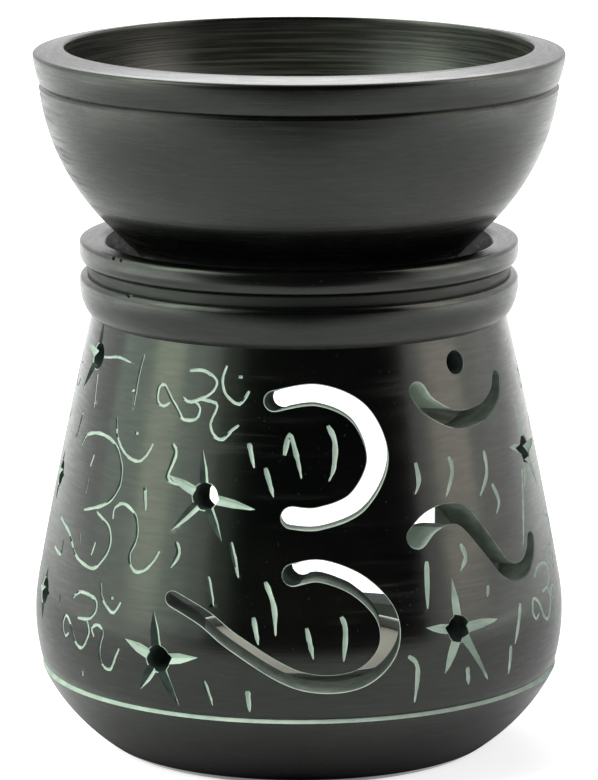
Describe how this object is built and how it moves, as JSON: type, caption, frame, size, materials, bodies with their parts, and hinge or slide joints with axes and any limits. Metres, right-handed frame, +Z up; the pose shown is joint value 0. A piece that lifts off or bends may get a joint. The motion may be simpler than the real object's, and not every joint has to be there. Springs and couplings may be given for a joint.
{
  "type": "soapstone oil lamp",
  "caption": "Turned black soapstone lamp: a pierced, tapering body with a back window shelters a tealight under a lift-off oil dish.",
  "frame": {"origin": "centre of the flat base, on the surface the lamp stands on", "axes": "+Z up along the turning axis; the pierced sign faces -Y and the back window faces +Y"},
  "size_m": [0.0752, 0.075, 0.1],
  "materials": {
    "body_stone": "waxed satin polish, pale where carved",
    "dish_stone": "waxed satin polish with fine turning marks",
    "cup_foil": "bright pressed foil",
    "wax": "translucent candle wax",
    "tab_tin": "plain tin",
    "wick_cotton": "waxed braided cotton"
  },
  "bodies": {
    "lamp": {"lamp_body": "body_stone"},
    "dish": {"oil_dish": "dish_stone"},
    "tealight": {"tealight_cup": "cup_foil", "tealight_wax": "wax", "wick_tab": "tab_tin", "wick": "wick_cotton"}
  },
  "joints": [
    {"name": "dish_lift", "type": "slide", "parent": "lamp", "child": "dish", "axis": [0, 0, 1], "range_m": [0, 0.04]},
    {"name": "tealight_draw", "type": "slide", "parent": "lamp", "child": "tealight", "axis": [0, 0.8154, 0.5789], "range_m": [0, 0.072]}
  ]
}
